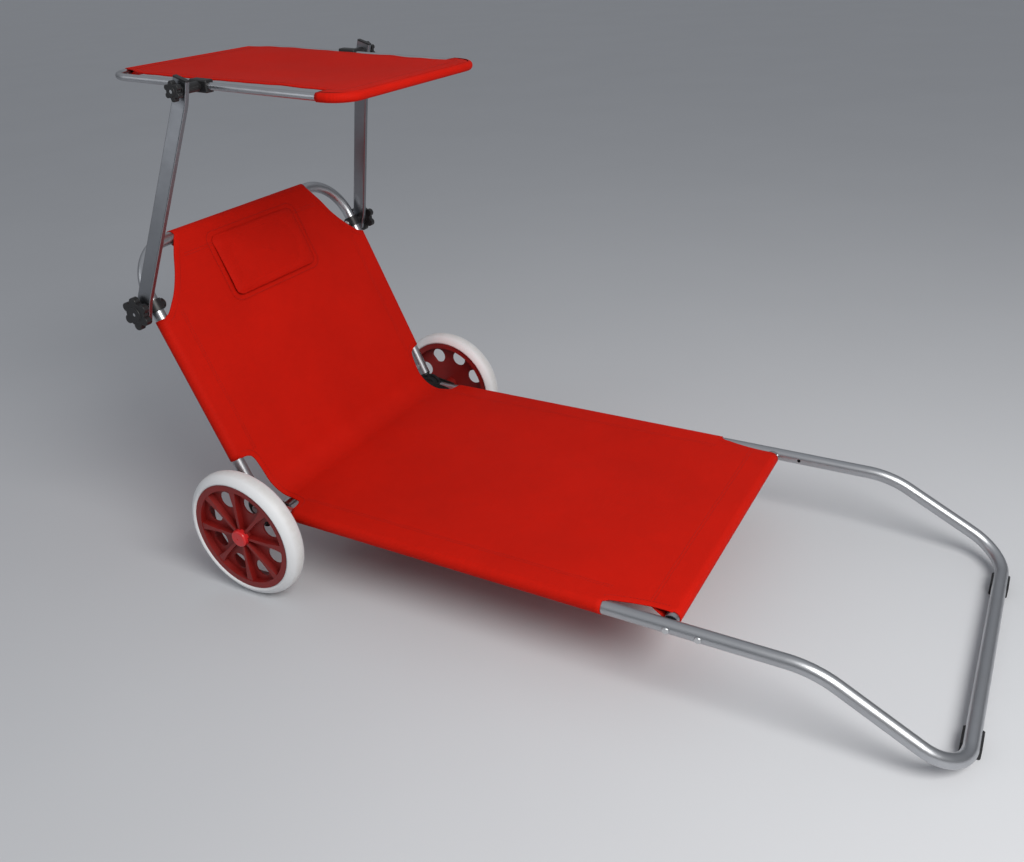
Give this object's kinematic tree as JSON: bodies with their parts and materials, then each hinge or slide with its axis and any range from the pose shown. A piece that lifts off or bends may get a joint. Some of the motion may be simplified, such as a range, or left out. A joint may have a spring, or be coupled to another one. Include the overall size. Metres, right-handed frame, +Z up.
{
  "type": "beach cart",
  "caption": "Folding beach lounger that pulls as a cart: tube frame with sling seat, reclining back, tilting canopy on two arms, wheels at the hip and a bent pull handle.",
  "frame": {"origin": "on the ground, under the middle of the overall length and width", "axes": "+X towards the foot and pull handle, +Y to the sitter's left, +Z up"},
  "size_m": [1.4644, 0.728, 0.8812],
  "materials": {
    "aluminium_tube": "satin drawn tube",
    "zinc_steel": "zinc plated",
    "bracket_steel": "dull grey plated",
    "black_plastic": "moulded, fine grain",
    "red_hub_plastic": "moulded",
    "cap_plastic": "moulded, glossy",
    "white_tyre": "matt white, foamed",
    "red_canvas": "tight plain weave"
  },
  "bodies": {
    "frame": {"seat_rail_left": "aluminium_tube", "seat_rail_right": "aluminium_tube", "seat_knuckle_left": "black_plastic", "seat_knuckle_right": "black_plastic", "outer_bracket_left": "bracket_steel", "outer_bracket_right": "bracket_steel", "inner_bracket_left": "bracket_steel", "inner_bracket_right": "bracket_steel", "foot_pad_left": "black_plastic", "foot_pad_right": "black_plastic", "handle_tube": "aluminium_tube", "handle_spigots": "aluminium_tube", "seat_crossbar": "aluminium_tube", "crossbar_plugs": "black_plastic", "crossbar_screws": "zinc_steel", "handle_screws": "zinc_steel", "foot_pad_screws": "zinc_steel", "hip_bolts": "zinc_steel", "hip_nuts": "zinc_steel", "bracket_rivets": "zinc_steel", "axle": "zinc_steel", "axle_spreader": "zinc_steel", "axle_spacers": "black_plastic", "axle_washers": "zinc_steel", "axle_clips": "zinc_steel", "seat_sling": "red_canvas"},
    "backrest": {"back_knuckle_left": "black_plastic", "back_knuckle_right": "black_plastic", "canopy_collar_left": "black_plastic", "canopy_collar_right": "black_plastic", "backrest_tube": "aluminium_tube", "back_rivets": "zinc_steel", "collar_bolts": "zinc_steel", "backrest_sling": "red_canvas", "head_pillow": "red_canvas"},
    "canopy_arms": {"canopy_arm_left": "aluminium_tube", "canopy_arm_right": "aluminium_tube", "arm_caps": "black_plastic", "arm_washers": "black_plastic"},
    "canopy": {"canopy_clamp_left": "black_plastic", "canopy_clamp_right": "black_plastic", "canopy_front_tube": "aluminium_tube", "canopy_rear_tube": "aluminium_tube", "canopy_bolts": "zinc_steel", "canopy_sheet": "red_canvas"},
    "wheel_left": {"tyre_left": "white_tyre", "wheel_hub_left": "red_hub_plastic", "hub_cap_left": "cap_plastic"},
    "low_knob_left": {"low_knob_left": "black_plastic"},
    "top_knob_left": {"top_knob_left": "black_plastic"},
    "wheel_right": {"tyre_right": "white_tyre", "wheel_hub_right": "red_hub_plastic", "hub_cap_right": "cap_plastic"},
    "low_knob_right": {"low_knob_right": "black_plastic"},
    "top_knob_right": {"top_knob_right": "black_plastic"}
  },
  "joints": [
    {"name": "backrest_recline", "type": "hinge", "parent": "frame", "child": "backrest", "pos_m": [-0.47142, 0, 0.1425], "axis": [0, 1, 0], "range_deg": [-66, 54]},
    {"name": "canopy_swing", "type": "hinge", "parent": "backrest", "child": "canopy_arms", "pos_m": [-0.63331, 0, 0.50609], "axis": [0, 1, 0], "range_deg": [-40, 60]},
    {"name": "canopy_tilt", "type": "hinge", "parent": "canopy_arms", "child": "canopy", "pos_m": [-0.5131, 0, 0.85919], "axis": [0, 1, 0], "range_deg": [-75, 75]},
    {"name": "wheel_left_spin", "type": "hinge", "parent": "frame", "child": "wheel_left", "pos_m": [-0.45643, 0, 0.1225], "axis": [0, 1, 0], "continuous": true},
    {"name": "wheel_right_spin", "type": "hinge", "parent": "frame", "child": "wheel_right", "pos_m": [-0.45643, 0, 0.1225], "axis": [0, 1, 0], "continuous": true},
    {"name": "low_knob_left_turn", "type": "hinge", "parent": "canopy_arms", "child": "low_knob_left", "pos_m": [-0.63331, 0, 0.50609], "axis": [0, 1, 0], "continuous": true},
    {"name": "top_knob_left_turn", "type": "hinge", "parent": "canopy_arms", "child": "top_knob_left", "pos_m": [-0.5131, 0, 0.85919], "axis": [0, 1, 0], "continuous": true},
    {"name": "low_knob_right_turn", "type": "hinge", "parent": "canopy_arms", "child": "low_knob_right", "pos_m": [-0.63331, 0, 0.50609], "axis": [0, 1, 0], "continuous": true},
    {"name": "top_knob_right_turn", "type": "hinge", "parent": "canopy_arms", "child": "top_knob_right", "pos_m": [-0.5131, 0, 0.85919], "axis": [0, 1, 0], "continuous": true}
  ]
}
